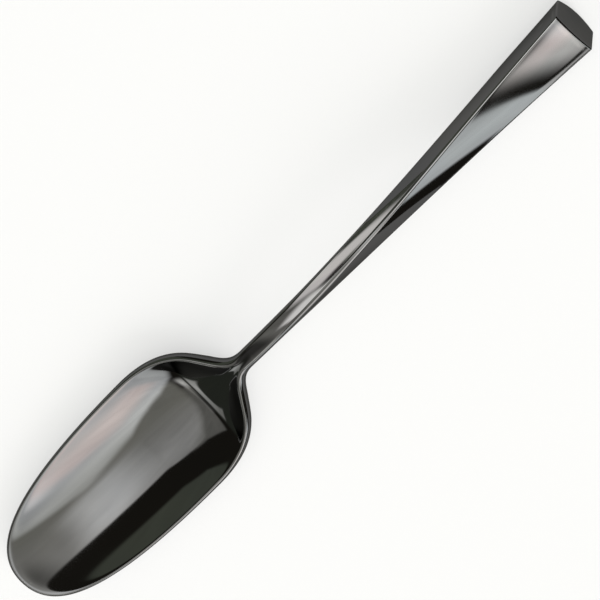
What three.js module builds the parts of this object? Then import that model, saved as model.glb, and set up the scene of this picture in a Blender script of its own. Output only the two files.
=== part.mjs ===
// Tablespoon with a forged bowl and a hollow twisted handle.
// Millimetres. +X runs from the bowl's tip to the handle's end, +Y is the spoon's left, +Z is up.
// The middle of the length is at x = 0 and the spoon rests on z = 0.
import * as THREE from 'three';
import { mergeVertices } from 'three/addons/utils/BufferGeometryUtils.js';

// Overall
const overallLength = 206;

// Bowl outline, seen from above; every length runs from the tip
const bowlWidth = 37.2;
const widestFromTip = 55.2;
const tipBluntness = 12;
const tipRun = 41.6;
const shoulderFromTip = 74;
const shoulderHalfWidth = 11.4;
const shoulderAngle = 50;
const shoulderReach = 9.7;
const shoulderEase = 5.6;
const neckFromTip = 85.6;
const neckReach = 6.5;

// Bowl heights and walls
const tipRimHeight = 7;
const neckTopHeight = 12.6;
const rimSweep = 5;
const floorThickness = 1.5;
const restLandCut = 0.65;
const floorSweep = 2.6;
const floorRise = 0.7;
const floorRiseLead = 20;
const creaseRise = 0.28;
const creaseRiseLead = 7;
const backWallFoot = 67.7;
const backWallTop = 80;
const creaseSoftness = 0.9;
const heelSoftness = 1.8;
const heelLead = 6;
const brinkSoftness = 1.5;
const sectionPower = 2.1;
const lipWidthTip = 0.8;
const lipWidthBack = 2.5;
const lipSweep = 5;
const lipRise = 1.2;
const lipFall = 1.5;
const lipSoftness = 0.25;
const hollowShareLeast = 0.25;
const neckBlendLead = 3;

// Handle bar
const neckThickness = 5;
const endThickness = 6;
const neckHeight = 4;
const endWidth = 14.3;
const widthSweep = 1.65;
const twistAngle = 65;
const twistLead = 2.4;
const twistEase = 1.25;
const neckEdgeRadius = 1.5;
const endEdgeRadius = 0.45;
const leastEdgeRadius = 0.2;
const edgeShareMost = 0.8;
const bellyCrown = 1.2;
const faceCrown = 0.03;
const endFallAngle = 1;
const endLeanAngle = 31;
const endSkewAngle = 2.5;
const endLeanRun = 22;

// Hollow handle, tang and cap
const shellWall = 0.8;
const shellReturn = 0.06;
const brazeGap = 0.06;
const bondGap = 0.1;
const cementLayer = 0.25;
const tangLength = 46;
const tangTaper = 0.35;
const notchDepth = 0.3;
const notchWidth = 2.5;
const notchRamp = 0.6;
const notchPitch = 9;
const notchCount = 4;
const capPlate = 1.4;
const capSpigot = 3;

// How finely the surfaces are divided
const topSegments = 14;
const lipSegments = 3;
const sideSegments = 4;
const baseSegments = 4;
const joinDistance = 0.001;
const underSegments = 2 * sideSegments + 2 * lipSegments + baseSegments;
const tipCurveSegments = 20;
const sideCurveSegments = 16;
const neckCurveSegments = 11;
const handleSegments = 22;
const shellTopSegments = 4;
const shellArcSegments = 2;
const shellSideSegments = 6;
const shellBaseSegments = 4;

const radians = THREE.MathUtils.degToRad;
const lerp = THREE.MathUtils.lerp;
const neckHalfWidth = neckThickness / 2;
const floorHeight = floorThickness - restLandCut;

function ease(x) {
  return THREE.MathUtils.smoothstep(x, 0, 1);
}

function softMin(a, b, k) {
  return (a + b - Math.hypot(a - b, k)) / 2;
}

function softMax(a, b, k) {
  return (a + b + Math.hypot(a - b, k)) / 2;
}

// Closed solid through rings of equal point count, with both end rings filled
function skin(rings, folded) {
  const count = rings[0].length;
  const points = rings.flat();
  const triangles = [];
  for (let i = 0; i + 1 < rings.length; i += 1) {
    for (let j = 0; j < count; j += 1) {
      const a = i * count + j;
      const b = i * count + (j + 1) % count;
      triangles.push([a, b + count, b], [a, a + count, b + count]);
    }
  }
  const last = (rings.length - 1) * count;
  if (folded) {
    for (let j = 0; j + 1 < count / 2; j += 1) {
      const far = count - 1 - j;
      triangles.push([j, far - 1, far], [j, j + 1, far - 1]);
      triangles.push([last + j, last + far, last + far - 1], [last + j, last + far - 1, last + j + 1]);
    }
  } else {
    const middle = points.length;
    const mean = (ring) => ring.reduce((sum, p) => sum.add(p), new THREE.Vector3()).divideScalar(count);
    points.push(mean(rings[0]), mean(rings.at(-1)));
    for (let j = 0; j < count; j += 1) {
      const next = (j + 1) % count;
      triangles.push([middle, j, next], [middle + 1, last + next, last + j]);
    }
  }
  const surface = new THREE.BufferGeometry().setFromPoints(points);
  surface.setIndex(triangles.flat());
  const merged = mergeVertices(surface, joinDistance);
  const index = merged.getIndex().array;
  const kept = [];
  for (let k = 0; k < index.length; k += 3) {
    const [a, b, c] = [index[k], index[k + 1], index[k + 2]];
    if (a !== b && b !== c && c !== a) kept.push(a, b, c);
  }
  merged.setIndex(kept);
  merged.computeVertexNormals();
  return merged;
}

// Bowl heights along the centre line, by distance from the tip
const crestRate = (neckTopHeight - tipRimHeight) / neckFromTip ** rimSweep;

function crest(s) {
  return tipRimHeight + crestRate * Math.max(s, 0) ** rimSweep;
}

function trough(s, softness) {
  const q = THREE.MathUtils.clamp((s - lipWidthTip) / (backWallFoot - lipWidthTip), 0, 1);
  const lift = floorRise * ease((s - backWallFoot + floorRiseLead) / floorRiseLead);
  const near = THREE.MathUtils.clamp((s - backWallFoot + creaseRiseLead) / creaseRiseLead, 0, 1);
  const rise = lift + creaseRise * near ** 2;
  const floor = floorHeight + (crest(lipWidthTip) - floorHeight) * (1 - q) ** floorSweep + rise;
  const foot = floorHeight + floorRise + creaseRise;
  const slope = (crest(backWallTop) - foot) / (backWallTop - backWallFoot);
  const wall = softMin(foot + slope * (s - backWallFoot), crest(s), brinkSoftness);
  return softMax(floor, wall, softness);
}

function lipWidth(s) {
  return lerp(lipWidthTip, lipWidthBack, Math.min(s / backWallTop, 1) ** lipSweep);
}

function bowlThickness(s) {
  const start = backWallFoot - heelLead;
  return lerp(floorThickness, neckHeight, ease((s - start) / (neckFromTip - start)));
}

// Handle bar: its station h is 0 at the neck joint and 1 at the end
function barWidth(h) {
  return lerp(neckHeight, endWidth, Math.max(h, 0) ** widthSweep);
}

function barThickness(h) {
  return lerp(neckThickness, endThickness, Math.max(h, 0));
}

function barTwist(h) {
  return radians(twistAngle) * (1 - (1 - THREE.MathUtils.clamp(h, 0, 1)) ** twistLead) ** twistEase;
}

// Outline of the bar's section, in its own axes: a along the thickness, b along the width.
// Offset shrinks the section on all sides. The points start on the face that is on top at the neck.
function section(h, offset, steps) {
  const halfA = barThickness(h) / 2 - offset;
  const halfB = barWidth(h) / 2 - offset;
  const edge = Math.max(lerp(neckEdgeRadius, endEdgeRadius, h) - offset, leastEdgeRadius);
  const radius = Math.min(edge, edgeShareMost * halfA, edgeShareMost * halfB);
  const crown = bellyCrown * THREE.MathUtils.clamp(h, 0, 1);
  const [a, b] = [halfA - radius, halfB - radius];
  const points = [];
  const line = (from, to, count, bulgeA, bulgeB) => {
    for (let k = 0; k < count; k += 1) {
      const f = k / count;
      const bulge = 4 * f * (1 - f);
      points.push(new THREE.Vector2(
        lerp(from[0], to[0], f) + bulgeA * bulge,
        lerp(from[1], to[1], f) + bulgeB * bulge,
      ));
    }
  };
  const arc = (centreA, centreB, start) => {
    for (let k = 0; k < steps.arc; k += 1) {
      const turn = start - (Math.PI / 2) * (k / steps.arc);
      points.push(new THREE.Vector2(centreA + radius * Math.cos(turn), centreB + radius * Math.sin(turn)));
    }
  };
  line([-a, halfB], [a, halfB], steps.top, 0, faceCrown * 2 * a);
  arc(a, b, Math.PI / 2);
  line([halfA, b], [halfA, -b], steps.side, crown, 0);
  arc(a, -b, 0);
  line([a, -halfB], [-a, -halfB], steps.base, 0, 0);
  arc(-a, -b, -Math.PI / 2);
  line([-halfA, -b], [-halfA, b], steps.side, -faceCrown * 2 * b, 0);
  arc(-a, b, Math.PI);
  return points;
}

const plainSteps = { top: topSegments, arc: lipSegments, side: sideSegments, base: baseSegments };

// The end is cut on a lean: this is how far a section point lies beyond the top edge of the cut
const endLean = Math.tan(radians(endLeanAngle));
const endSkew = Math.tan(radians(endSkewAngle));

function leanReach(p) {
  return endLean * (p.x + endThickness / 2) - endSkew * p.y;
}

// Rounding of the cut's rim, as steps of inset and set-back from the cut
const endRim = Array.from({ length: lipSegments + 1 }, (_, k) => {
  const turn = (Math.PI / 2) * (k / lipSegments);
  return { inset: endEdgeRadius * (1 - Math.cos(turn)), back: endEdgeRadius * (1 - Math.sin(turn)) };
});
const endReach = Math.max(
  ...endRim.flatMap(({ inset, back }) => section(1, inset, plainSteps).map((p) => leanReach(p) - back)),
);
const barEnd = overallLength - endReach;
const barRun = barEnd - neckFromTip;

function endSectionDepth() {
  const turn = barTwist(1);
  const heights = section(1, 0, plainSteps).map((p) => p.y * Math.cos(turn) - p.x * Math.sin(turn));
  return -Math.min(...heights);
}

const barCentreStart = neckTopHeight - neckHeight / 2;
const barCentreEnd = endSectionDepth();
const startSlope = crestRate * rimSweep * neckFromTip ** (rimSweep - 1);
const endSlope = -Math.tan(radians(endFallAngle));

function barCentre(h) {
  const [h2, h3] = [h * h, h * h * h];
  const start = (2 * h3 - 3 * h2 + 1) * barCentreStart + (h3 - 2 * h2 + h) * startSlope * barRun;
  return start + (3 * h2 - 2 * h3) * barCentreEnd + (h3 - h2) * endSlope * barRun;
}

// Section points placed in space at distance s from the tip
function placed(s, offset, steps) {
  const h = (s - neckFromTip) / barRun;
  const turn = barTwist(h);
  const height = h < 0 ? crest(s) - neckHeight / 2 : barCentre(h);
  const lean = ease((s - barEnd + endLeanRun) / endLeanRun);
  return section(Math.max(h, 0), offset, steps).map((p) => {
    const y = p.x * Math.cos(turn) + p.y * Math.sin(turn);
    const z = p.y * Math.cos(turn) - p.x * Math.sin(turn);
    return new THREE.Vector3(s + lean * leanReach(p) - overallLength / 2, y, height + z);
  });
}

// Bowl outline as three curves: tip to widest, widest to shoulder, shoulder to neck
const halfWidth = bowlWidth / 2;
const shoulder = new THREE.Vector2(shoulderFromTip, shoulderHalfWidth);
const shoulderLine = new THREE.Vector2(Math.cos(radians(shoulderAngle)), -Math.sin(radians(shoulderAngle)));
const widest = new THREE.Vector2(widestFromTip, halfWidth);
const outline = [
  new THREE.CubicBezierCurve(
    new THREE.Vector2(0, 0),
    new THREE.Vector2(0, tipBluntness),
    new THREE.Vector2(widestFromTip - tipRun, halfWidth),
    widest,
  ),
  new THREE.CubicBezierCurve(
    widest,
    new THREE.Vector2(widestFromTip + shoulderReach, halfWidth),
    shoulder.clone().addScaledVector(shoulderLine, -shoulderEase),
    shoulder,
  ),
  new THREE.CubicBezierCurve(
    shoulder,
    shoulder.clone().addScaledVector(shoulderLine, shoulderEase),
    new THREE.Vector2(neckFromTip - neckReach, neckHalfWidth),
    new THREE.Vector2(neckFromTip, neckHalfWidth),
  ),
];
const outlineSegments = [tipCurveSegments, sideCurveSegments, neckCurveSegments];

// One ring of the bowl: over the hollow, down one lip, under the bowl, up the other lip
function bowlRing(curve, t) {
  const outer = curve.getPoint(t);
  const along = curve.getTangent(t);
  const width = lipWidth(outer.x);
  const inner = outer.clone().add(new THREE.Vector2(along.y, -along.x).multiplyScalar(width));
  inner.y = t === 0 && curve === outline[0] ? 0 : Math.max(inner.y, hollowShareLeast * outer.y);
  const top = crest(inner.x);
  const depth = top - trough(inner.x, creaseSoftness);
  const points = [];
  const put = (s, y, z) => points.push(new THREE.Vector3(s - overallLength / 2, y, z));
  for (let k = 0; k <= topSegments; k += 1) {
    const even = (2 * k) / topSegments - 1;
    const f = even * (1.5 - 0.5 * even * even);
    const wall = top - depth * (1 - Math.abs(f) ** sectionPower);
    put(inner.x, f * inner.y, softMin(wall, top, lipSoftness));
  }
  const lip = (k, side) => {
    const turn = (Math.PI / 2) * (k / lipSegments);
    const f = Math.sin(turn);
    const fall = lipFall * width * (1 - Math.cos(turn));
    const s = lerp(inner.x, outer.x, f);
    const z = softMin(crest(s) + lipRise * width * f, crest(s) - fall, lipSoftness);
    put(s, side * lerp(inner.y, outer.y, f), z);
  };
  for (let k = 1; k <= lipSegments; k += 1) lip(k, 1);
  const lipHeight = points.at(-1).z;
  const under = trough(outer.x, heelSoftness) - bowlThickness(outer.x);
  for (let k = 1; k < underSegments; k += 1) {
    const f = Math.cos((Math.PI * k) / underSegments);
    const z = lipHeight - (lipHeight - under) * (1 - Math.abs(f) ** sectionPower);
    put(outer.x, f * outer.y, Math.max(z, 0));
  }
  for (let k = lipSegments; k >= 1; k -= 1) lip(k, -1);
  const blend = ease((outer.x - backWallTop + neckBlendLead) / (neckFromTip - backWallTop + neckBlendLead));
  if (blend === 0) return points;
  const bar = placed(outer.x, 0, plainSteps);
  return points.map((p, k) => p.clone().lerp(bar[k], blend));
}

// Tang: the inside of the handle less a layer of cement, tapering, with notches across it
const tangOffset = shellWall + cementLayer;

function tangRings(grow, steps) {
  const stations = [[0, 0]];
  for (let k = 0; k < notchCount; k += 1) {
    const start = tangLength - (notchCount - k) * notchPitch;
    const end = start + notchWidth;
    stations.push([start, 0], [start + notchRamp, 1], [end - notchRamp, 1], [end, 0]);
  }
  stations.push([tangLength, 0]);
  return stations.map(([run, notch]) => {
    const shrink = tangTaper * (run / tangLength) + notchDepth * notch;
    const reach = run === tangLength ? run + grow : run;
    return tangSection(neckFromTip + reach, shrink - grow, steps);
  });
}

// The tang keeps the size it has at the neck along its whole length
function tangSection(s, shrink, steps) {
  const h = (s - neckFromTip) / barRun;
  const turn = barTwist(h);
  const height = barCentre(h);
  return section(0, tangOffset + shrink, steps).map((p) => {
    const y = p.x * Math.cos(turn) + p.y * Math.sin(turn);
    const z = p.y * Math.cos(turn) - p.x * Math.sin(turn);
    return new THREE.Vector3(s - overallLength / 2, y, height + z);
  });
}

function makeBowl() {
  const rings = [];
  outline.forEach((curve, part) => {
    for (let k = part === 0 ? 0 : 1; k <= outlineSegments[part]; k += 1) {
      rings.push(bowlRing(curve, k / outlineSegments[part]));
    }
  });
  rings.pop();
  rings.push(placed(neckFromTip, 0, plainSteps));
  return skin(rings.concat(tangRings(0, plainSteps)), false);
}

// Stations of the shells and the core, from the neck joint to a given end
function stations(from, to) {
  return Array.from({ length: handleSegments + 1 }, (_, k) => lerp(from, to, k / handleSegments));
}

// A shell follows part of the section's outline, outside and back along the inside.
// The upper shell returns round two edges by a share of the next side.
const shellSteps = {
  top: shellTopSegments,
  arc: shellArcSegments,
  side: shellSideSegments,
  base: shellBaseSegments,
};

function shellPath(s, offset, upper) {
  const ring = placed(s, offset, shellSteps);
  const { top, arc, side, base } = shellSteps;
  const seamA = top + arc;
  const seamB = top + 2 * arc + side + base;
  const gap = upper ? 0 : brazeGap;
  const cut = (from, to, count) => from.clone().lerp(to, shellReturn * count + gap / from.distanceTo(to));
  const leaveA = cut(ring[seamA], ring[seamA + 1], side);
  const leaveB = cut(ring[seamB], ring[seamB - 1], base);
  if (upper) return [leaveB, ...ring.slice(seamB), ...ring.slice(0, seamA + 1), leaveA];
  return [leaveA, ...ring.slice(seamA + 1, seamB), leaveB];
}

const shellStart = neckFromTip + brazeGap;
const shellEnd = barEnd - capPlate - brazeGap;

function makeShell(upper) {
  const rings = stations(shellStart, shellEnd).map((s) => {
    const outside = shellPath(s, 0, upper);
    const inside = shellPath(s, shellWall, upper);
    return outside.concat(inside.reverse());
  });
  return skin(rings, true);
}

function makeCore() {
  const bore = tangRings(bondGap, shellSteps);
  bore[0].forEach((p) => { p.x += bondGap; });
  const body = stations(neckFromTip + bondGap, shellEnd - capSpigot - bondGap);
  const outside = body.map((s) => placed(s, shellWall + bondGap, shellSteps));
  return skin([...bore.reverse(), ...outside], false);
}

function makeCap() {
  const seat = barEnd - capPlate;
  const rings = [
    placed(seat - capSpigot, shellWall + bondGap, plainSteps),
    placed(seat, shellWall + bondGap, plainSteps),
    placed(seat, 0, plainSteps),
  ];
  endRim.forEach(({ inset, back }) => rings.push(placed(barEnd - back, inset, plainSteps)));
  return skin(rings, false);
}

const darkSteel = { color: 0x2b2c2e, roughness: 0.12, metalness: 1 };
const cement = { color: 0x8f8c86, roughness: 0.9, metalness: 0 };

const spoon = new THREE.Group();
spoon.name = 'tablespoon';

function add(name, geometry, look) {
  const mesh = new THREE.Mesh(geometry, new THREE.MeshStandardMaterial(look));
  mesh.name = name;
  spoon.add(mesh);
}

add('bowl_forging', makeBowl(), darkSteel);
add('handle_upper_shell', makeShell(true), darkSteel);
add('handle_lower_shell', makeShell(false), darkSteel);
add('handle_end_cap', makeCap(), darkSteel);
add('handle_core', makeCore(), cement);

export default spoon;
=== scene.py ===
"""Looks of the tablespoon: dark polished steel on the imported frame, a floor, soft light and a camera."""

import math

import bmesh
import bpy
import numpy as np
from mathutils import Matrix, Vector


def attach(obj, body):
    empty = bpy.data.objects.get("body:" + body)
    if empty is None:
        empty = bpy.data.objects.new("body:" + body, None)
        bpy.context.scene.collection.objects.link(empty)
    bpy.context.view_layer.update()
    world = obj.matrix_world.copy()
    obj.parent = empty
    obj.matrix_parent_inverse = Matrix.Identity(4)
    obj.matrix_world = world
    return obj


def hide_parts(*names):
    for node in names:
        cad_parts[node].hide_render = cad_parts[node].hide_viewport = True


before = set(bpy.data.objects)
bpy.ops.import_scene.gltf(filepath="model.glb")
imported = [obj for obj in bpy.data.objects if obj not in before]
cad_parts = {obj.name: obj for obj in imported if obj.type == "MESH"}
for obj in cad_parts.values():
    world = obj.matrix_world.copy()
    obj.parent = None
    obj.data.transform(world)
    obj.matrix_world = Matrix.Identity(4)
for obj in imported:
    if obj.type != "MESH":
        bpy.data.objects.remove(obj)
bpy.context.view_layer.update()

MILLIMETRE = 0.001

# Sizes in millimetres and angles in degrees, the same as in the solids; s runs from the bowl's tip
OVERALL_LENGTH = 206
BOWL_WIDTH = 37.2
WIDEST_FROM_TIP = 55.2
TIP_BLUNTNESS = 12
TIP_RUN = 41.6
SHOULDER_FROM_TIP = 74
SHOULDER_HALF_WIDTH = 11.4
SHOULDER_ANGLE = 50
SHOULDER_REACH = 9.7
SHOULDER_EASE = 5.6
NECK_FROM_TIP = 85.6
NECK_REACH = 6.5
TIP_RIM_HEIGHT = 7
NECK_TOP_HEIGHT = 12.6
RIM_SWEEP = 5
FLOOR_THICKNESS = 1.5
REST_LAND_CUT = 0.65
FLOOR_SWEEP = 2.6
FLOOR_RISE = 0.7
FLOOR_RISE_LEAD = 20
CREASE_RISE = 0.28
CREASE_RISE_LEAD = 7
BACK_WALL_FOOT = 67.7
BACK_WALL_TOP = 80
CREASE_SOFTNESS = 0.9
HEEL_SOFTNESS = 1.8
HEEL_LEAD = 6
BRINK_SOFTNESS = 1.5
SECTION_POWER = 2.1
LIP_WIDTH_TIP = 0.8
LIP_WIDTH_BACK = 2.5
LIP_SWEEP = 5
LIP_RISE = 1.2
LIP_FALL = 1.5
LIP_SOFTNESS = 0.25
HOLLOW_SHARE_LEAST = 0.25
NECK_BLEND_LEAD = 3
NECK_THICKNESS = 5
END_THICKNESS = 6
NECK_HEIGHT = 4
END_WIDTH = 14.3
WIDTH_SWEEP = 1.65
TWIST_ANGLE = 65
TWIST_LEAD = 2.4
TWIST_EASE = 1.25
NECK_EDGE_RADIUS = 1.5
END_EDGE_RADIUS = 0.45
LEAST_EDGE_RADIUS = 0.2
EDGE_SHARE_MOST = 0.8
BELLY_CROWN = 1.2
FACE_CROWN = 0.03
END_FALL_ANGLE = 1
END_LEAN_ANGLE = 31
END_SKEW_ANGLE = 2.5
END_LEAN_RUN = 22
SHELL_WALL = 0.8
SHELL_RETURN = 0.06
BOND_GAP = 0.1
CEMENT_LAYER = 0.25
TANG_LENGTH = 46
TANG_TAPER = 0.35
CAP_PLATE = 1.4
CAP_SPIGOT = 3
EDGE_MARGIN = 0.12

# Fineness of the skins, as counts of steps. Edges sharper than the angle, in degrees, stay hard.
# Points closer than the joining distance, in metres, become one.
ACROSS_TOP = 96
ACROSS_LIP = 10
ACROSS_SIDE = 28
ACROSS_BASE = 28
UNDER_STEPS = 2 * ACROSS_SIDE + 2 * ACROSS_LIP + ACROSS_BASE
OUTLINE_STEPS = (120, 80, 70)
HANDLE_STEPS = 220
TANG_STEPS = 12
BOWL_STEPS = {"top": ACROSS_TOP, "arc": ACROSS_LIP, "side": ACROSS_SIDE, "base": ACROSS_BASE}
SHELL_STEPS = {"top": 24, "arc": 10, "side": 30, "base": 24}
SEAM_STEPS = 3
SHARP_ANGLE = 40
JOINING_DISTANCE = 2e-6
LEAST_EDGE_LENGTH = 1e-7

# The photograph's view: tilts of the sight line from straight down and the spoon's turn in the picture, in
# degrees, lens and sensor in millimetres, distance and aim in metres
TILT_TO_HANDLE = 6
TILT_TO_LEFT = 5
PICTURE_TURN = 45.244
LENS = 200
SENSOR = 36
CAMERA_DISTANCE = 0.8643
AIM_RIGHT = 0.00036
AIM_UP = 0.00016

# Softboxes round the spoon. Corners run anticlockwise, in degrees from overhead: first to the spoon's
# right, then to its handle. Soft is half the width of the fade along each edge. Tones spread from the hot
# spot to its reach. Where panels overlap, their light adds up.
LIGHT_STRENGTH = 7
ROOM = (0.011, 0.01, 0.008)
TONE_STOPS = (0, 0.4, 1)
CLOTH_SCALE = 0.09
CLOTH_CURL = 1.5
CLOTH_FOLDS = ((0.3, 0.86), (0.7, 1))
SOFTBOXES = {
    "overhead": dict(
        corners=((26, 15), (-6.8, 10), (-31, -16), (62, -27.5)), soft=(3, 0.8, 3, 3),
        hot=(-13, -6), reach=42, tones=((0.4, 0.4, 0.39), (0.28, 0.28, 0.27), (0.19, 0.19, 0.17)),
    ),
    "overhead_glow": dict(
        corners=((18, 4), (-12.4, 4), (-19.8, -4), (20, -4)), soft=(3, 0.8, 3, 6),
        hot=(4, 0), reach=30, tones=((0.36, 0.37, 0.38), (0.31, 0.32, 0.33), (0.2, 0.2, 0.2)),
    ),
    "right": dict(
        corners=((92, -9), (31, 7), (22, -1), (70, -31)), soft=(3, 2, 2, 3),
        hot=(60, -9), reach=36, tones=((0.72, 0.74, 0.74), (0.6, 0.62, 0.63), (0.26, 0.27, 0.27)),
    ),
    "right_end": dict(
        corners=((97, -14), (92, -9), (70, -31), (88, -37)), soft=(3, 3, 3, 3),
        hot=(80, -24), reach=20, tones=((0.6, 0.62, 0.62), (0.5, 0.52, 0.52), (0.22, 0.22, 0.22)),
    ),
    "right_glow": dict(
        corners=((74, -15), (51, 2), (45, -5), (68, -23)), soft=(4, 4, 4, 4),
        hot=(60, -10), reach=40, tones=((0.21, 0.09, 0.06), (0.2, 0.08, 0.05), (0.18, 0.06, 0.03)),
    ),
    "left_card": dict(
        corners=((-22, 30), (-110, 30), (-110, -52), (-22, 8.7)), soft=(3, 3, 0.8, 3),
        hot=(-60, 0), reach=60, tones=((0.053, 0.061, 0.048),) * 3,
    ),
    "beyond_tip": dict(
        corners=((40, -26), (-31, -14.5), (-60, -36), (40, -36)), soft=(3, 0.8, 3, 4),
        hot=(-20, -24), reach=60, tones=((0.14, 0.14, 0.13), (0.13, 0.13, 0.12), (0.11, 0.11, 0.1)),
    ),
    "low_strip": dict(
        corners=((62, -30), (-20, -30), (-30, -44), (70, -44)), soft=(3, 5, 2, 5),
        hot=(52, -35), reach=45, tones=((0.7, 0.7, 0.68), (0.16, 0.16, 0.15), (0.03, 0.03, 0.03)),
    ),
    "tip_strip": dict(
        corners=((74, -50), (-60, -50), (-60, -69), (74, -66)), soft=(4, 4, 2.5, 5),
        hot=(42, -60), reach=90, tones=((0.5, 0.5, 0.49), (0.34, 0.34, 0.33), (0.2, 0.2, 0.19)),
    ),
    "tip_card": dict(
        corners=((100, -46), (-100, -46), (-100, -100), (100, -100)), soft=(4, 3, 3, 3),
        hot=(0, -70), reach=90, tones=((0.015, 0.019, 0.015),) * 3,
    ),
    "low_right": dict(
        corners=((65.4, 3.6), (44, 12.4), (43.5, 1), (65.4, -4)), soft=(2.7, 3, 3, 0.5),
        hot=(48, 4), reach=22, tones=((0.9, 0.8, 0.78), (0.72, 0.72, 0.7), (0.45, 0.45, 0.45)),
    ),
    "high_right": dict(
        corners=((75.5, 22), (48, 22), (50, 14.4), (75.5, 3.1)), soft=(2, 2, 0.5, 2),
        hot=(65, 11), reach=30, tones=((0.68, 0.73, 0.74), (0.62, 0.66, 0.67), (0.55, 0.57, 0.57)),
    ),
    "right_sliver": dict(
        corners=((75.5, 3.1), (67.4, 6.7), (67.4, -3), (75.5, -3)), soft=(0.5, 0.4, 2, 2),
        hot=(70, 6), reach=8, tones=((0.6, 0.61, 0.61), (0.55, 0.55, 0.55), (0.4, 0.4, 0.4)),
    ),
}

# Lamps that light the handle alone, in metres: a strip at its left, one high over the neck and one over its
# edge. Fade is the share of the width and of the length over which a lamp dims towards each side.
STRIP_LAMPS = {
    "side_strip": dict(
        centre=(-0.027, 0.243, 0.171), aim=(0.03, -0.002, 0.025), size=(0.064, 0.32), roll=40,
        fade=(0.25, 0.25), tone=(0.78, 0.75, 0.74),
    ),
    "neck_strip": dict(
        centre=(-0.149, 0.101, 0.363), aim=(-0.092, -0.144, 0.217), size=(0.1, 0.34), roll=48,
        fade=(0.35, 0.3), tone=(0.84, 0.83, 0.82),
    ),
    "edge_strip": dict(
        centre=(0.123, -0.026, 0.305), aim=(0.05, 0, 0.015), size=(0.36, 0.12), roll=0,
        fade=(0.3, 0.3), tone=(0.8, 0.8, 0.8),
    ),
}

# Floor, in metres, just under the spoon; its lift is the share of white where it is seen
FLOOR_RADIUS = 6
FLOOR_SIDES = 96
FLOOR_DROP = 0.00004
FLOOR_TONE = (0.9, 0.9, 0.9, 1)
FLOOR_ROUGHNESS = 0.9
FLOOR_LIFT = 0.6

# Steel: clouds in tone and gloss, wear on the edges and polishing lines with their depth in metres.
# A noise is stretched along the spoon. Tones and levels are pairs of a ramp's stop and its value.
CLOUD_NOISE = dict(scale=60, detail=3, stretch=2)
CLOUD_TONES = ((0.35, (0.075, 0.075, 0.076)), (0.65, (0.083, 0.082, 0.081)))
GLOSS_NOISE = dict(scale=140, detail=4, stretch=3)
GLOSS_LEVELS = ((0.3, 0.035), (0.7, 0.07))
EDGE_TINT = (0.4, 0.4, 0.39, 1)
EDGE_LEVELS = ((0.505, 0), (0.53, 1))
WEAR_NOISE = dict(scale=400, detail=3, stretch=4)
WEAR_LEVELS = ((0.35, 0.2), (0.65, 1))
WORN_TONE = (0.1, 0.099, 0.097, 1)
WORN_ROUGHNESS = 0.05
POLISH_NOISE = dict(scale=1500, detail=2, stretch=40)
POLISH_DEPTH = 3e-7

# Cement
CEMENT_NOISE = dict(scale=900, detail=6, stretch=1)
CEMENT_TONES = ((0.3, (0.22, 0.21, 0.2)), (0.7, (0.36, 0.35, 0.33)))
CEMENT_ROUGHNESS = 0.9


def lerp(a, b, f):
    return a + (b - a) * f


def ease(x):
    x = np.clip(x, 0, 1)
    return x * x * (3 - 2 * x)


def soft_min(a, b, k):
    return (a + b - np.hypot(a - b, k)) / 2


def soft_max(a, b, k):
    return (a + b + np.hypot(a - b, k)) / 2


# Bowl heights along the centre line
CREST_RATE = (NECK_TOP_HEIGHT - TIP_RIM_HEIGHT) / NECK_FROM_TIP**RIM_SWEEP
FLOOR_HEIGHT = FLOOR_THICKNESS - REST_LAND_CUT


def crest(s):
    """Height of the rim."""
    return TIP_RIM_HEIGHT + CREST_RATE * np.maximum(s, 0) ** RIM_SWEEP


def trough(s, softness):
    """Height of the hollow's lowest line: down from the tip, along the floor and up the back wall."""
    q = np.clip((s - LIP_WIDTH_TIP) / (BACK_WALL_FOOT - LIP_WIDTH_TIP), 0, 1)
    lift = FLOOR_RISE * ease((s - BACK_WALL_FOOT + FLOOR_RISE_LEAD) / FLOOR_RISE_LEAD)
    near = np.clip((s - BACK_WALL_FOOT + CREASE_RISE_LEAD) / CREASE_RISE_LEAD, 0, 1)
    rise = lift + CREASE_RISE * near**2
    floor = FLOOR_HEIGHT + (crest(LIP_WIDTH_TIP) - FLOOR_HEIGHT) * (1 - q) ** FLOOR_SWEEP + rise
    foot = FLOOR_HEIGHT + FLOOR_RISE + CREASE_RISE
    slope = (crest(BACK_WALL_TOP) - foot) / (BACK_WALL_TOP - BACK_WALL_FOOT)
    wall = soft_min(foot + slope * (s - BACK_WALL_FOOT), crest(s), BRINK_SOFTNESS)
    return soft_max(floor, wall, softness)


def lip_width(s):
    return lerp(LIP_WIDTH_TIP, LIP_WIDTH_BACK, min(s / BACK_WALL_TOP, 1) ** LIP_SWEEP)


def bowl_thickness(s):
    start = BACK_WALL_FOOT - HEEL_LEAD
    return lerp(FLOOR_THICKNESS, NECK_HEIGHT, ease((s - start) / (NECK_FROM_TIP - start)))


# Handle bar: station h is 0 at the neck joint and 1 at the end
def bar_width(h):
    return lerp(NECK_HEIGHT, END_WIDTH, max(h, 0) ** WIDTH_SWEEP)


def bar_thickness(h):
    return lerp(NECK_THICKNESS, END_THICKNESS, max(h, 0))


def bar_twist(h):
    h = min(max(h, 0), 1)
    return math.radians(TWIST_ANGLE) * (1 - (1 - h) ** TWIST_LEAD) ** TWIST_EASE


def seamed(count, closing=False):
    """Fractions along a side that has the shells' seam near its start, finer up to the seam."""
    near = SHELL_RETURN * np.arange(SEAM_STEPS) / SEAM_STEPS
    far = SHELL_RETURN + (1 - SHELL_RETURN) * np.arange(count - SEAM_STEPS + closing) / (count - SEAM_STEPS)
    fractions = np.concatenate([near, far])
    return fractions[:0:-1] if closing else fractions


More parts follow.
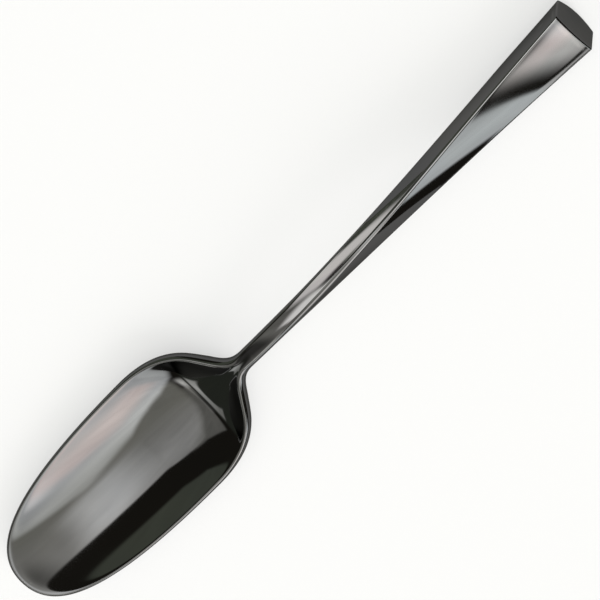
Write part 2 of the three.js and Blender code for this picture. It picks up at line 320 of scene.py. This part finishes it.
def section(h, offset, steps):
    """Outline of the bar's section, a along the thickness and b along the width, shrunk by offset."""
    half_a = bar_thickness(h) / 2 - offset
    half_b = bar_width(h) / 2 - offset
    edge = max(lerp(NECK_EDGE_RADIUS, END_EDGE_RADIUS, h) - offset, LEAST_EDGE_RADIUS)
    radius = min(edge, EDGE_SHARE_MOST * half_a, EDGE_SHARE_MOST * half_b)
    crown = BELLY_CROWN * min(max(h, 0), 1)
    a, b = half_a - radius, half_b - radius

    def line(start, end, fractions, bulge=(0, 0)):
        f = fractions[:, None]
        return lerp(np.array(start), np.array(end), f) + np.array(bulge) * 4 * f * (1 - f)

    def arc(centre_a, centre_b, start):
        turn = start - math.pi / 2 * np.arange(steps["arc"]) / steps["arc"]
        return np.stack([centre_a + radius * np.cos(turn), centre_b + radius * np.sin(turn)], 1)

    even = {side: np.arange(steps[side]) / steps[side] for side in ("top", "side", "base")}
    return np.concatenate([
        line((-a, half_b), (a, half_b), even["top"], (0, FACE_CROWN * 2 * a)),
        arc(a, b, math.pi / 2),
        line((half_a, b), (half_a, -b), seamed(steps["side"]), (crown, 0)),
        arc(a, -b, 0),
        line((a, -half_b), (-a, -half_b), 1 - seamed(steps["base"], closing=True)),
        arc(-a, -b, -math.pi / 2),
        line((-half_a, -b), (-half_a, b), even["side"], (-FACE_CROWN * 2 * b, 0)),
        arc(-a, b, math.pi),
    ])


# The end is cut on a lean
END_LEAN = math.tan(math.radians(END_LEAN_ANGLE))
END_SKEW = math.tan(math.radians(END_SKEW_ANGLE))


def lean_reach(points):
    return END_LEAN * (points[:, 0] + END_THICKNESS / 2) - END_SKEW * points[:, 1]


def end_rim():
    """Rounding of the cut's rim, as pairs of inset and set-back from the cut."""
    turn = math.pi / 2 * np.arange(ACROSS_LIP + 1) / ACROSS_LIP
    return list(zip(END_EDGE_RADIUS * (1 - np.cos(turn)), END_EDGE_RADIUS * (1 - np.sin(turn))))


END_REACH = max((lean_reach(section(1, inset, BOWL_STEPS)) - back).max() for inset, back in end_rim())
BAR_END = OVERALL_LENGTH - END_REACH
BAR_RUN = BAR_END - NECK_FROM_TIP


def turned(points, turn):
    """Section points as sideways and upward offsets, with the bar turned about its own line."""
    a, b = points[:, 0], points[:, 1]
    return a * math.cos(turn) + b * math.sin(turn), b * math.cos(turn) - a * math.sin(turn)


BAR_CENTRE_START = NECK_TOP_HEIGHT - NECK_HEIGHT / 2
BAR_CENTRE_END = -turned(section(1, 0, BOWL_STEPS), bar_twist(1))[1].min()
START_SLOPE = CREST_RATE * RIM_SWEEP * NECK_FROM_TIP ** (RIM_SWEEP - 1)
END_SLOPE = -math.tan(math.radians(END_FALL_ANGLE))


def bar_centre(h):
    h2, h3 = h * h, h * h * h
    start = (2 * h3 - 3 * h2 + 1) * BAR_CENTRE_START + (h3 - 2 * h2 + h) * START_SLOPE * BAR_RUN
    return start + (3 * h2 - 2 * h3) * BAR_CENTRE_END + (h3 - h2) * END_SLOPE * BAR_RUN


def placed(s, offset, steps):
    """Section points in space at distance s from the tip."""
    h = (s - NECK_FROM_TIP) / BAR_RUN
    height = crest(s) - NECK_HEIGHT / 2 if h < 0 else bar_centre(h)
    lean = ease((s - BAR_END + END_LEAN_RUN) / END_LEAN_RUN)
    points = section(max(h, 0), offset, steps)
    y, z = turned(points, bar_twist(h))
    return np.stack([s + lean * lean_reach(points) - OVERALL_LENGTH / 2, y, height + z], 1)


def outline_curves():
    """The bowl's left outline from above as three cubic curves: tip to widest, to shoulder, to neck."""
    half = BOWL_WIDTH / 2
    angle = math.radians(SHOULDER_ANGLE)
    shoulder = np.array([SHOULDER_FROM_TIP, SHOULDER_HALF_WIDTH])
    lead = SHOULDER_EASE * np.array([math.cos(angle), -math.sin(angle)])
    widest = (WIDEST_FROM_TIP, half)
    neck_half = NECK_THICKNESS / 2
    return [np.array(points, float) for points in (
        [(0, 0), (0, TIP_BLUNTNESS), (WIDEST_FROM_TIP - TIP_RUN, half), widest],
        [widest, (WIDEST_FROM_TIP + SHOULDER_REACH, half), shoulder - lead, shoulder],
        [shoulder, shoulder + lead, (NECK_FROM_TIP - NECK_REACH, neck_half), (NECK_FROM_TIP, neck_half)],
    )]


def on_curve(curve, t):
    """Point and unit tangent of a cubic curve."""
    p0, p1, p2, p3 = curve
    u = 1 - t
    point = u**3 * p0 + 3 * u * u * t * p1 + 3 * u * t * t * p2 + t**3 * p3
    tangent = 3 * u * u * (p1 - p0) + 6 * u * t * (p2 - p1) + 3 * t * t * (p3 - p2)
    return point, tangent / np.linalg.norm(tangent)


def hollow_line(inner):
    """Points across the hollow from right to left, closer together towards the lips."""
    top = crest(inner[0])
    depth = top - trough(inner[0], CREASE_SOFTNESS)
    even = np.linspace(-1, 1, ACROSS_TOP + 1)
    f = even * (1.5 - 0.5 * even * even)
    wall = top - depth * (1 - np.abs(f) ** SECTION_POWER)
    return np.stack([np.full_like(f, inner[0]), f * inner[1], soft_min(wall, top, LIP_SOFTNESS)], 1)


def lip_line(inner, outer, width):
    """Points over the left lip, from the hollow out to the outline."""
    turn = math.pi / 2 * np.arange(1, ACROSS_LIP + 1) / ACROSS_LIP
    reach = np.sin(turn)
    s = lerp(inner[0], outer[0], reach)
    fall = LIP_FALL * width * (1 - np.cos(turn))
    z = soft_min(crest(s) + LIP_RISE * width * reach, crest(s) - fall, LIP_SOFTNESS)
    return np.stack([s, lerp(inner[1], outer[1], reach), z], 1)


def under_line(outer, rim):
    """Points under the bowl from left to right, cut flat where it rests."""
    under = trough(outer[0], HEEL_SOFTNESS) - bowl_thickness(outer[0])
    f = np.cos(math.pi * np.arange(1, UNDER_STEPS) / UNDER_STEPS)
    z = rim - (rim - under) * (1 - np.abs(f) ** SECTION_POWER)
    return np.stack([np.full_like(f, outer[0]), f * outer[1], np.maximum(z, 0)], 1)


def bowl_ring(curve, t, at_tip):
    """One ring: over the hollow, down the left lip, under the bowl and up the right lip."""
    outer, along = on_curve(curve, t)
    width = lip_width(outer[0])
    inner = outer + width * np.array([along[1], -along[0]])
    inner[1] = 0 if at_tip else max(inner[1], HOLLOW_SHARE_LEAST * outer[1])
    left = lip_line(inner, outer, width)
    right = left[::-1] * (1, -1, 1)
    under = under_line(outer, left[-1, 2])
    ring = np.concatenate([hollow_line(inner), left, under, right]) - (OVERALL_LENGTH / 2, 0, 0)
    lead = NECK_BLEND_LEAD
    blend = ease((outer[0] - BACK_WALL_TOP + lead) / (NECK_FROM_TIP - BACK_WALL_TOP + lead))
    return lerp(ring, placed(outer[0], 0, BOWL_STEPS), blend)


def tang_ring(run):
    """Section of the tang, which keeps the size that it has at the neck but for its taper."""
    h = run / BAR_RUN
    shrink = TANG_TAPER * run / TANG_LENGTH
    points = section(0, SHELL_WALL + CEMENT_LAYER + shrink, BOWL_STEPS)
    y, z = turned(points, bar_twist(h))
    s = np.full_like(y, NECK_FROM_TIP + run - OVERALL_LENGTH / 2)
    return np.stack([s, y, bar_centre(h) + z], 1)


def bowl_rings():
    rings = []
    for part, curve in enumerate(outline_curves()):
        steps = OUTLINE_STEPS[part]
        for k in range(0 if part == 0 else 1, steps + 1):
            rings.append(bowl_ring(curve, k / steps, part == 0 and k == 0))
    rings.extend(tang_ring(TANG_LENGTH * k / TANG_STEPS) for k in range(TANG_STEPS + 1))
    return rings


def shell_path(s, offset, upper):
    """The part of the section's outline that one half of the handle covers, from seam to seam."""
    ring = placed(s, offset, SHELL_STEPS)
    arc, side = SHELL_STEPS["arc"], SHELL_STEPS["side"]
    seam_a = SHELL_STEPS["top"] + arc + SEAM_STEPS
    seam_b = SHELL_STEPS["top"] + 2 * arc + side + SHELL_STEPS["base"] - SEAM_STEPS
    if upper:
        return np.concatenate([ring[seam_b:], ring[:seam_a + 1]])
    return ring[seam_a:seam_b + 1]


def shell_rings(upper):
    rings = []
    for s in np.linspace(NECK_FROM_TIP, BAR_END - CAP_PLATE, HANDLE_STEPS + 1):
        rings.append(np.concatenate([shell_path(s, 0, upper), shell_path(s, SHELL_WALL, upper)[::-1]]))
    return rings


def cap_rings():
    """The cap's spigot, its plate and the rounded rim of its outer face."""
    seat = BAR_END - CAP_PLATE
    rings = [
        placed(seat - CAP_SPIGOT, SHELL_WALL + BOND_GAP, BOWL_STEPS),
        placed(seat, SHELL_WALL + BOND_GAP, BOWL_STEPS),
        placed(seat, 0, BOWL_STEPS),
        placed(seat + EDGE_MARGIN, 0, BOWL_STEPS),
        placed(BAR_END - END_EDGE_RADIUS - EDGE_MARGIN, 0, BOWL_STEPS),
    ]
    rings.extend(placed(BAR_END - back, inset, BOWL_STEPS) for inset, back in end_rim())
    return rings


def skin(name, rings):
    """A closed mesh through rings of equal point count, with both end rings filled."""
    count = len(rings[0])
    mesh = bmesh.new()
    rows = [[mesh.verts.new(point * MILLIMETRE) for point in np.asarray(ring)] for ring in rings]
    for near, far in zip(rows, rows[1:]):
        for j in range(count):
            k = (j + 1) % count
            mesh.faces.new((near[j], near[k], far[k], far[j]))
    mesh.faces.new(rows[0][::-1])
    mesh.faces.new(rows[-1])
    return finished(name, mesh)


def finished(name, mesh):
    """The object of a bmesh, with doubled points joined, faces outward and hard edges kept."""
    bmesh.ops.remove_doubles(mesh, verts=mesh.verts, dist=JOINING_DISTANCE)
    bmesh.ops.dissolve_degenerate(mesh, edges=mesh.edges, dist=LEAST_EDGE_LENGTH)
    bmesh.ops.recalc_face_normals(mesh, faces=mesh.faces)
    data = bpy.data.meshes.new(name)
    mesh.to_mesh(data)
    mesh.free()
    data.shade_smooth()
    data.set_sharp_from_angle(angle=math.radians(SHARP_ANGLE))
    made = bpy.data.objects.new(name, data)
    bpy.context.scene.collection.objects.link(made)
    return made


# Shader nodes
def feed(tree, socket, value):
    """A socket's value, from another socket or as a plain number or vector."""
    if isinstance(value, bpy.types.NodeSocket):
        tree.links.new(value, socket)
    else:
        socket.default_value = value


def maths(tree, operation, *values):
    node = tree.nodes.new("ShaderNodeMath")
    node.operation = operation
    for socket, value in zip(node.inputs, values):
        feed(tree, socket, value)
    return node.outputs["Value"]


def vectors(tree, operation, first, second):
    node = tree.nodes.new("ShaderNodeVectorMath")
    node.operation = operation
    feed(tree, node.inputs[0], first)
    feed(tree, node.inputs["Scale" if operation == "SCALE" else 1], second)
    return node.outputs["Value" if operation in ("DISTANCE", "DOT_PRODUCT") else "Vector"]


def node_tree(material):
    """A cleared tree with one shader."""
    material.use_nodes = True
    tree = material.node_tree
    tree.nodes.clear()
    output = tree.nodes.new("ShaderNodeOutputMaterial")
    shader = tree.nodes.new("ShaderNodeBsdfPrincipled")
    tree.links.new(shader.outputs["BSDF"], output.inputs["Surface"])
    return tree, shader


def noise(tree, scale, detail, stretch):
    """Noise over the object's own coordinates, in metres, stretched along the spoon."""
    place = tree.nodes.new("ShaderNodeTexCoord")
    mapping = tree.nodes.new("ShaderNodeMapping")
    mapping.inputs["Scale"].default_value = (1 / stretch, 1, 1)
    texture = tree.nodes.new("ShaderNodeTexNoise")
    texture.inputs["Scale"].default_value = scale
    texture.inputs["Detail"].default_value = detail
    tree.links.new(place.outputs["Object"], mapping.inputs["Vector"])
    tree.links.new(mapping.outputs["Vector"], texture.inputs["Vector"])
    return texture.outputs["Fac"]


def ramp(tree, source, stops):
    node = tree.nodes.new("ShaderNodeValToRGB")
    elements = node.color_ramp.elements
    while len(elements) < len(stops):
        elements.new(0.5)
    for element, (position, colour) in zip(elements, stops):
        element.position = position
        element.color = (*colour, 1)
    tree.links.new(source, node.inputs["Fac"])
    return node.outputs["Color"]


def levels(tree, source, stops):
    """A ramp of greys, used as numbers."""
    return ramp(tree, source, [(position, (level,) * 3) for position, level in stops])


def mixed(tree, share, first, second):
    """One colour passing into another."""
    node = tree.nodes.new("ShaderNodeMix")
    node.data_type = "RGBA"
    feed(tree, node.inputs["Factor"], share)
    for name, colour in (("A", first), ("B", second)):
        feed(tree, next(s for s in node.inputs if s.name == name and s.type == "RGBA"), colour)
    return next(s for s in node.outputs if s.type == "RGBA")


# Materials
def dark_steel():
    """Mirror-polished dark steel: clouded tone and gloss, fine polishing lines and paler worn edges."""
    material = bpy.data.materials.new("dark_steel")
    tree, shader = node_tree(material)
    shader.inputs["Metallic"].default_value = 1
    shader.inputs["Specular Tint"].default_value = EDGE_TINT
    shape = tree.nodes.new("ShaderNodeNewGeometry")
    edges = levels(tree, shape.outputs["Pointiness"], EDGE_LEVELS)
    worn = maths(tree, "MULTIPLY", edges, levels(tree, noise(tree, **WEAR_NOISE), WEAR_LEVELS))
    tone = ramp(tree, noise(tree, **CLOUD_NOISE), CLOUD_TONES)
    feed(tree, shader.inputs["Base Color"], mixed(tree, worn, tone, WORN_TONE))
    gloss = levels(tree, noise(tree, **GLOSS_NOISE), GLOSS_LEVELS)
    rougher = maths(tree, "MULTIPLY", worn, WORN_ROUGHNESS)
    feed(tree, shader.inputs["Roughness"], maths(tree, "ADD", gloss, rougher))
    lines = tree.nodes.new("ShaderNodeBump")
    lines.inputs["Distance"].default_value = POLISH_DEPTH
    feed(tree, lines.inputs["Height"], noise(tree, **POLISH_NOISE))
    feed(tree, shader.inputs["Normal"], lines.outputs["Normal"])
    return material


def cement():
    """Grey filling cement, hidden inside the handle."""
    material = bpy.data.materials.new("cement")
    tree, shader = node_tree(material)
    feed(tree, shader.inputs["Base Color"], ramp(tree, noise(tree, **CEMENT_NOISE), CEMENT_TONES))
    shader.inputs["Roughness"].default_value = CEMENT_ROUGHNESS
    return material


# Floor, light and camera
def add_floor():
    """A pale floor that is lifted towards white where it is seen, straight or in the steel."""
    bpy.ops.mesh.primitive_circle_add(
        vertices=FLOOR_SIDES, radius=FLOOR_RADIUS, fill_type="NGON", location=(0, 0, -FLOOR_DROP)
    )
    floor = bpy.context.object
    floor.name = "floor"
    material = bpy.data.materials.new("pale_floor")
    tree, shader = node_tree(material)
    shader.inputs["Base Color"].default_value = FLOOR_TONE
    shader.inputs["Roughness"].default_value = FLOOR_ROUGHNESS
    shader.inputs["Specular IOR Level"].default_value = 0
    rays = tree.nodes.new("ShaderNodeLightPath")
    seen = maths(tree, "MAXIMUM", rays.outputs["Is Camera Ray"], rays.outputs["Is Glossy Ray"])
    seen = maths(tree, "MAXIMUM", seen, rays.outputs["Is Transmission Ray"])
    white = tree.nodes.new("ShaderNodeEmission")
    blend = tree.nodes.new("ShaderNodeMixShader")
    feed(tree, blend.inputs["Fac"], maths(tree, "MULTIPLY", seen, FLOOR_LIFT))
    feed(tree, blend.inputs[1], shader.outputs["BSDF"])
    feed(tree, blend.inputs[2], white.outputs["Emission"])
    feed(tree, tree.nodes["Material Output"].inputs["Surface"], blend.outputs["Shader"])
    floor.data.materials.append(material)


def softbox(tree, angles, corners, soft, hot, reach, tones):
    """A four-cornered panel of the sky that fades along its edges."""
    spread = maths(tree, "DIVIDE", vectors(tree, "DISTANCE", angles, (*hot, 0)), reach)
    cloth = tree.nodes.new("ShaderNodeTexNoise")
    cloth.inputs["Scale"].default_value = CLOTH_SCALE
    cloth.inputs["Distortion"].default_value = CLOTH_CURL
    feed(tree, cloth.inputs["Vector"], angles)
    folds = levels(tree, cloth.outputs["Fac"], CLOTH_FOLDS)
    lit = vectors(tree, "MULTIPLY", ramp(tree, spread, list(zip(TONE_STOPS, tones))), folds)
    for start, end, fade in zip(corners, corners[1:] + corners[:1], soft):
        inward = Vector((start[1] - end[1], end[0] - start[0])).normalized()
        edge = inward.dot(Vector(start))
        mask = tree.nodes.new("ShaderNodeMapRange")
        mask.interpolation_type = "SMOOTHSTEP"
        mask.inputs["From Min"].default_value = edge - fade
        mask.inputs["From Max"].default_value = edge + fade
        feed(tree, mask.inputs["Value"], vectors(tree, "DOT_PRODUCT", angles, (*inward, 0)))
        lit = vectors(tree, "SCALE", lit, mask.outputs["Result"])
    return lit


def add_world():
    """A dim room with the softboxes, placed by the angles that their direction makes with overhead."""
    world = bpy.data.worlds.new("studio")
    bpy.context.scene.world = world
    world.use_nodes = True
    tree = world.node_tree
    place = tree.nodes.new("ShaderNodeTexCoord")
    apart = tree.nodes.new("ShaderNodeSeparateXYZ")
    tree.links.new(place.outputs["Generated"], apart.inputs["Vector"])
    across = maths(tree, "ARCTAN2", maths(tree, "MULTIPLY", apart.outputs["Y"], -1), apart.outputs["Z"])
    along = maths(tree, "ARCSINE", apart.outputs["X"])
    angles = tree.nodes.new("ShaderNodeCombineXYZ")
    feed(tree, angles.inputs["X"], maths(tree, "DEGREES", across))
    feed(tree, angles.inputs["Y"], maths(tree, "DEGREES", along))
    total = ROOM
    for panel in SOFTBOXES.values():
        total = vectors(tree, "ADD", softbox(tree, angles.outputs["Vector"], **panel), total)
    background = tree.nodes["Background"]
    tree.links.new(total, background.inputs["Color"])
    background.inputs["Strength"].default_value = LIGHT_STRENGTH


def soft_edges(tree, place, axis, share):
    """1 over the middle of a lamp, falling to 0 at both sides along one axis."""
    split = tree.nodes.new("ShaderNodeSeparateXYZ")
    tree.links.new(place, split.inputs["Vector"])
    nearest = maths(tree, "MINIMUM", split.outputs[axis], maths(tree, "SUBTRACT", 1, split.outputs[axis]))
    fade = tree.nodes.new("ShaderNodeMapRange")
    fade.interpolation_type = "SMOOTHSTEP"
    fade.inputs["From Max"].default_value = share
    tree.links.new(nearest, fade.inputs["Value"])
    return fade.outputs["Result"]


def add_strip_lamp(name, receivers, centre, aim, size, roll, fade, tone):
    """A soft-edged lamp that lights the receivers alone and isn't seen itself."""
    centre = Vector(centre)
    data = bpy.data.lights.new(name, "AREA")
    data.shape = "RECTANGLE"
    data.size, data.size_y = size
    data.energy = LIGHT_STRENGTH * math.pi * data.size * data.size_y
    data.color = tone
    data.use_nodes = True
    tree = data.node_tree
    place = tree.nodes.new("ShaderNodeNewGeometry").outputs["Parametric"]
    wide = soft_edges(tree, place, "X", fade[0])
    long = soft_edges(tree, place, "Y", fade[1])
    feed(tree, tree.nodes["Emission"].inputs["Strength"], maths(tree, "MULTIPLY", wide, long))
    away = (centre - Vector(aim)).normalized()
    flat_side = Vector((0, 0, 1)).cross(away).normalized()
    side = Matrix.Rotation(math.radians(roll), 3, -away) @ flat_side
    matrix = Matrix((side, away.cross(side), away)).transposed().to_4x4()
    matrix.translation = centre
    lamp = bpy.data.objects.new(name, data)
    bpy.context.scene.collection.objects.link(lamp)
    lamp.matrix_world = matrix
    lamp.visible_camera = False
    lamp.light_linking.receiver_collection = receivers


def add_handle_lamps(pieces):
    """The strip lamps, linked to the handle's pieces."""
    receivers = bpy.data.collections.new("strip_lit")
    for piece in pieces:
        receivers.objects.link(piece)
    for name, lamp in STRIP_LAMPS.items():
        add_strip_lamp(name, receivers, **lamp)


def add_camera():
    """The photograph's view from almost straight above, with the handle to the upper right."""
    toward = Vector((math.sin(math.radians(TILT_TO_HANDLE)), math.sin(math.radians(TILT_TO_LEFT)), 0))
    toward.z = math.sqrt(1 - toward.length_squared)
    along = Vector((1, 0, 0))
    right = (along - along.dot(toward) * toward).normalized()
    up = toward.cross(right)
    turn = math.radians(PICTURE_TURN)
    picture_right = math.cos(turn) * right - math.sin(turn) * up
    picture_up = math.sin(turn) * right + math.cos(turn) * up
    data = bpy.data.cameras.new("camera")
    data.lens = LENS
    data.sensor_width = SENSOR
    camera = bpy.data.objects.new("camera", data)
    bpy.context.scene.collection.objects.link(camera)
    matrix = Matrix((picture_right, picture_up, toward)).transposed().to_4x4()
    matrix.translation = AIM_RIGHT * picture_right + AIM_UP * picture_up + CAMERA_DISTANCE * toward
    camera.matrix_world = matrix
    bpy.context.scene.camera = camera


def dress(piece, node, material):
    """A piece in its material, standing for a node of the frame."""
    piece.data.materials.append(material)
    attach(piece, "root")
    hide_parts(node)


# The scene
bpy.context.scene.view_settings.view_transform = "Standard"
add_camera()
steel = dark_steel()
dress(skin("polished_bowl", bowl_rings()), "bowl_forging", steel)
handle = {
    "handle_upper_shell": skin("polished_upper_shell", shell_rings(True)),
    "handle_lower_shell": skin("polished_lower_shell", shell_rings(False)),
    "handle_end_cap": skin("polished_end_cap", cap_rings()),
}
for node, piece in handle.items():
    dress(piece, node, steel)
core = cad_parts["handle_core"]
core.data.materials.clear()
core.data.materials.append(cement())
add_floor()
add_world()
add_handle_lamps(handle.values())
